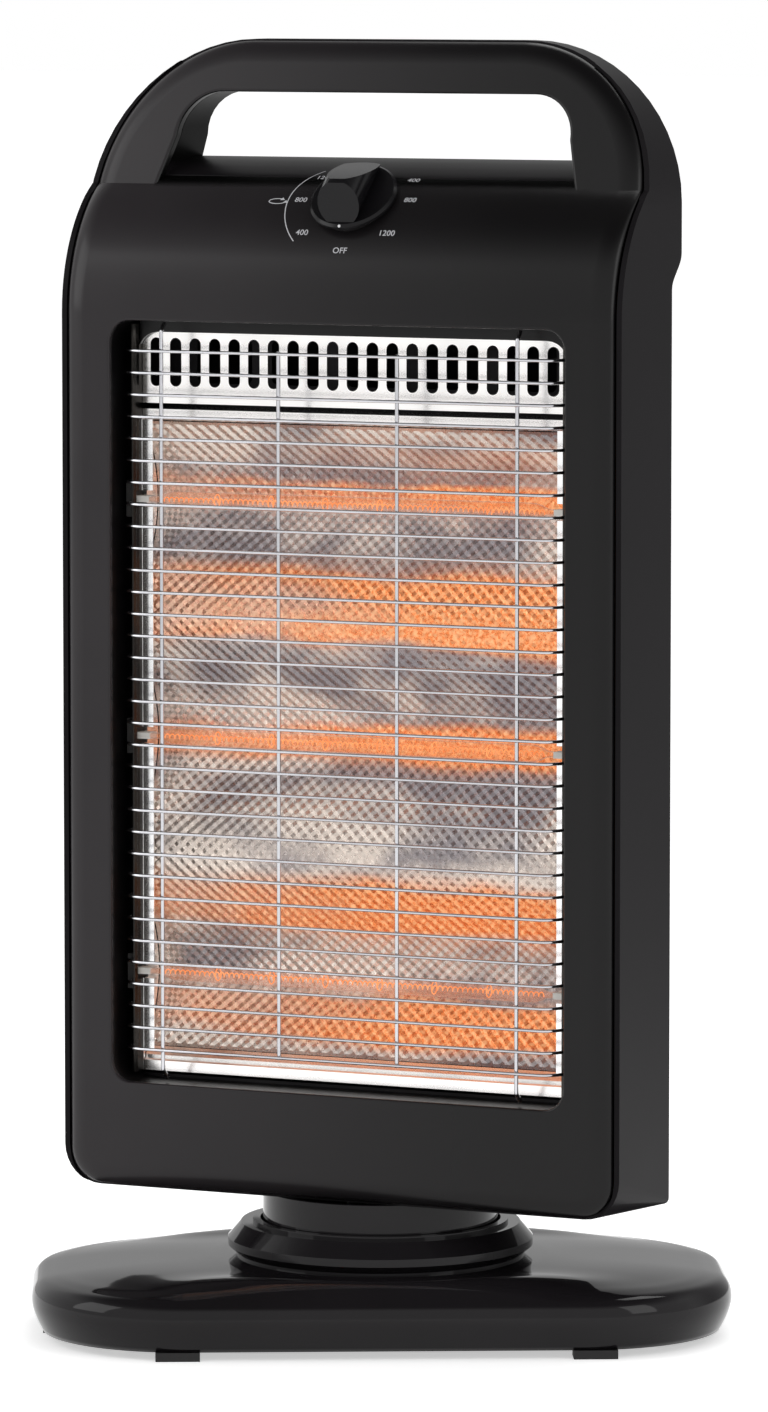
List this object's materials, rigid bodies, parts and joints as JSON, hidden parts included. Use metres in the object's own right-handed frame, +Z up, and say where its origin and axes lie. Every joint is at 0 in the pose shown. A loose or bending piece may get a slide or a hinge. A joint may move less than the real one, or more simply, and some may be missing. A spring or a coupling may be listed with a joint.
{
  "type": "halogen heater",
  "caption": "Upright halogen heater: a dark moulded head with a carrying handle, a wire grille over glowing lamps and a dial, swinging on a wide domed base.",
  "frame": {"origin": "on the floor, under the swing axis, at the middle of the feet", "axes": "+Z up, -Y is the way the head faces, +X to the right of someone looking at the grille from the front; the base is turned 27 degrees about +Z under the head"},
  "size_m": [0.3186, 0.2574, 0.59],
  "materials": {
    "panel": "satin charcoal moulding",
    "casing": "satin dark grey moulding",
    "gloss_black": "polished black moulding",
    "knob_black": "polished black",
    "grille_chrome": "bright plated wire",
    "embossed_sheet": "bright embossed sheet",
    "bright_sheet": "bright rolled sheet",
    "tray_steel": "galvanised sheet",
    "lamp_glass": "clear quartz",
    "filament": "glowing wire",
    "ceramic": "white unglazed ceramic",
    "screw_steel": "zinc plated",
    "plate_black": "black powder coat",
    "drive_steel": "turned and pressed steel",
    "foot_rubber": "black rubber",
    "acetal": "natural acetal",
    "switch_blue": "blue moulding",
    "cutout_brown": "brown bakelite",
    "shaft_steel": "turned steel",
    "lead_sleeve": "heat resistant sleeve"
  },
  "bodies": {
    "base": {"base_shell": "gloss_black", "base_plate": "plate_black", "rubber_feet": "foot_rubber", "base_screws": "screw_steel", "swivel_collar": "gloss_black", "collar_screws": "screw_steel", "bearing_ring": "acetal", "pivot_post": "drive_steel", "pivot_nut": "screw_steel", "swing_motor": "drive_steel", "motor_screws": "screw_steel", "tip_switch": "switch_blue", "terminal_block": "acetal", "cord_grommet": "foot_rubber", "base_wires": "lead_sleeve"},
    "head": {"front_panel": "panel", "window_frame": "gloss_black", "rear_shell": "casing", "handle_back": "casing", "rear_cover": "casing", "neck_drum": "gloss_black", "grille_cross_wires": "grille_chrome", "grille_uprights": "grille_chrome", "reflector_back": "embossed_sheet", "reflector_top": "bright_sheet", "reflector_ledge": "bright_sheet", "reflector_bottom": "bright_sheet", "reflector_sides": "bright_sheet", "reflector_tray": "tray_steel", "lamp_tubes": "lamp_glass", "lamp_filaments": "filament", "lamp_caps": "ceramic", "lamp_holders": "ceramic", "arm_screws": "screw_steel", "neck_screws": "screw_steel", "casing_screws": "screw_steel", "cover_screws": "screw_steel", "tray_screws": "screw_steel", "switch_nut": "screw_steel", "swing_arm": "drive_steel", "rotary_switch": "acetal", "thermal_cutout": "cutout_brown", "head_wires": "lead_sleeve"},
    "crank": {"crank_arm": "acetal"},
    "plunger": {"tip_plunger": "acetal"},
    "knob": {"knob": "knob_black", "knob_shaft": "shaft_steel"}
  },
  "joints": [
    {"name": "head_swing", "type": "hinge", "parent": "base", "child": "head", "pos_m": [0, 0, 0], "axis": [0, 0, 1], "range_deg": [-8, 62]},
    {"name": "crank_turn", "type": "hinge", "parent": "base", "child": "crank", "pos_m": [-0.01816, 0.03564, 0], "axis": [0, 0, 1], "range_deg": [-24, 186]},
    {"name": "tip_press", "type": "slide", "parent": "base", "child": "plunger", "axis": [0, 0, -1], "range_m": [0, 0.005], "stiffness_N_per_m": 100, "springref_m": 0.005},
    {"name": "knob_turn", "type": "hinge", "parent": "head", "child": "knob", "pos_m": [0, -0.02684, 0.51802], "axis": [0, -0.6691, 0.7431], "continuous": true}
  ],
  "couplings": [
    {"joint": "crank_turn", "follows": "head_swing", "ratio": 3}
  ]
}
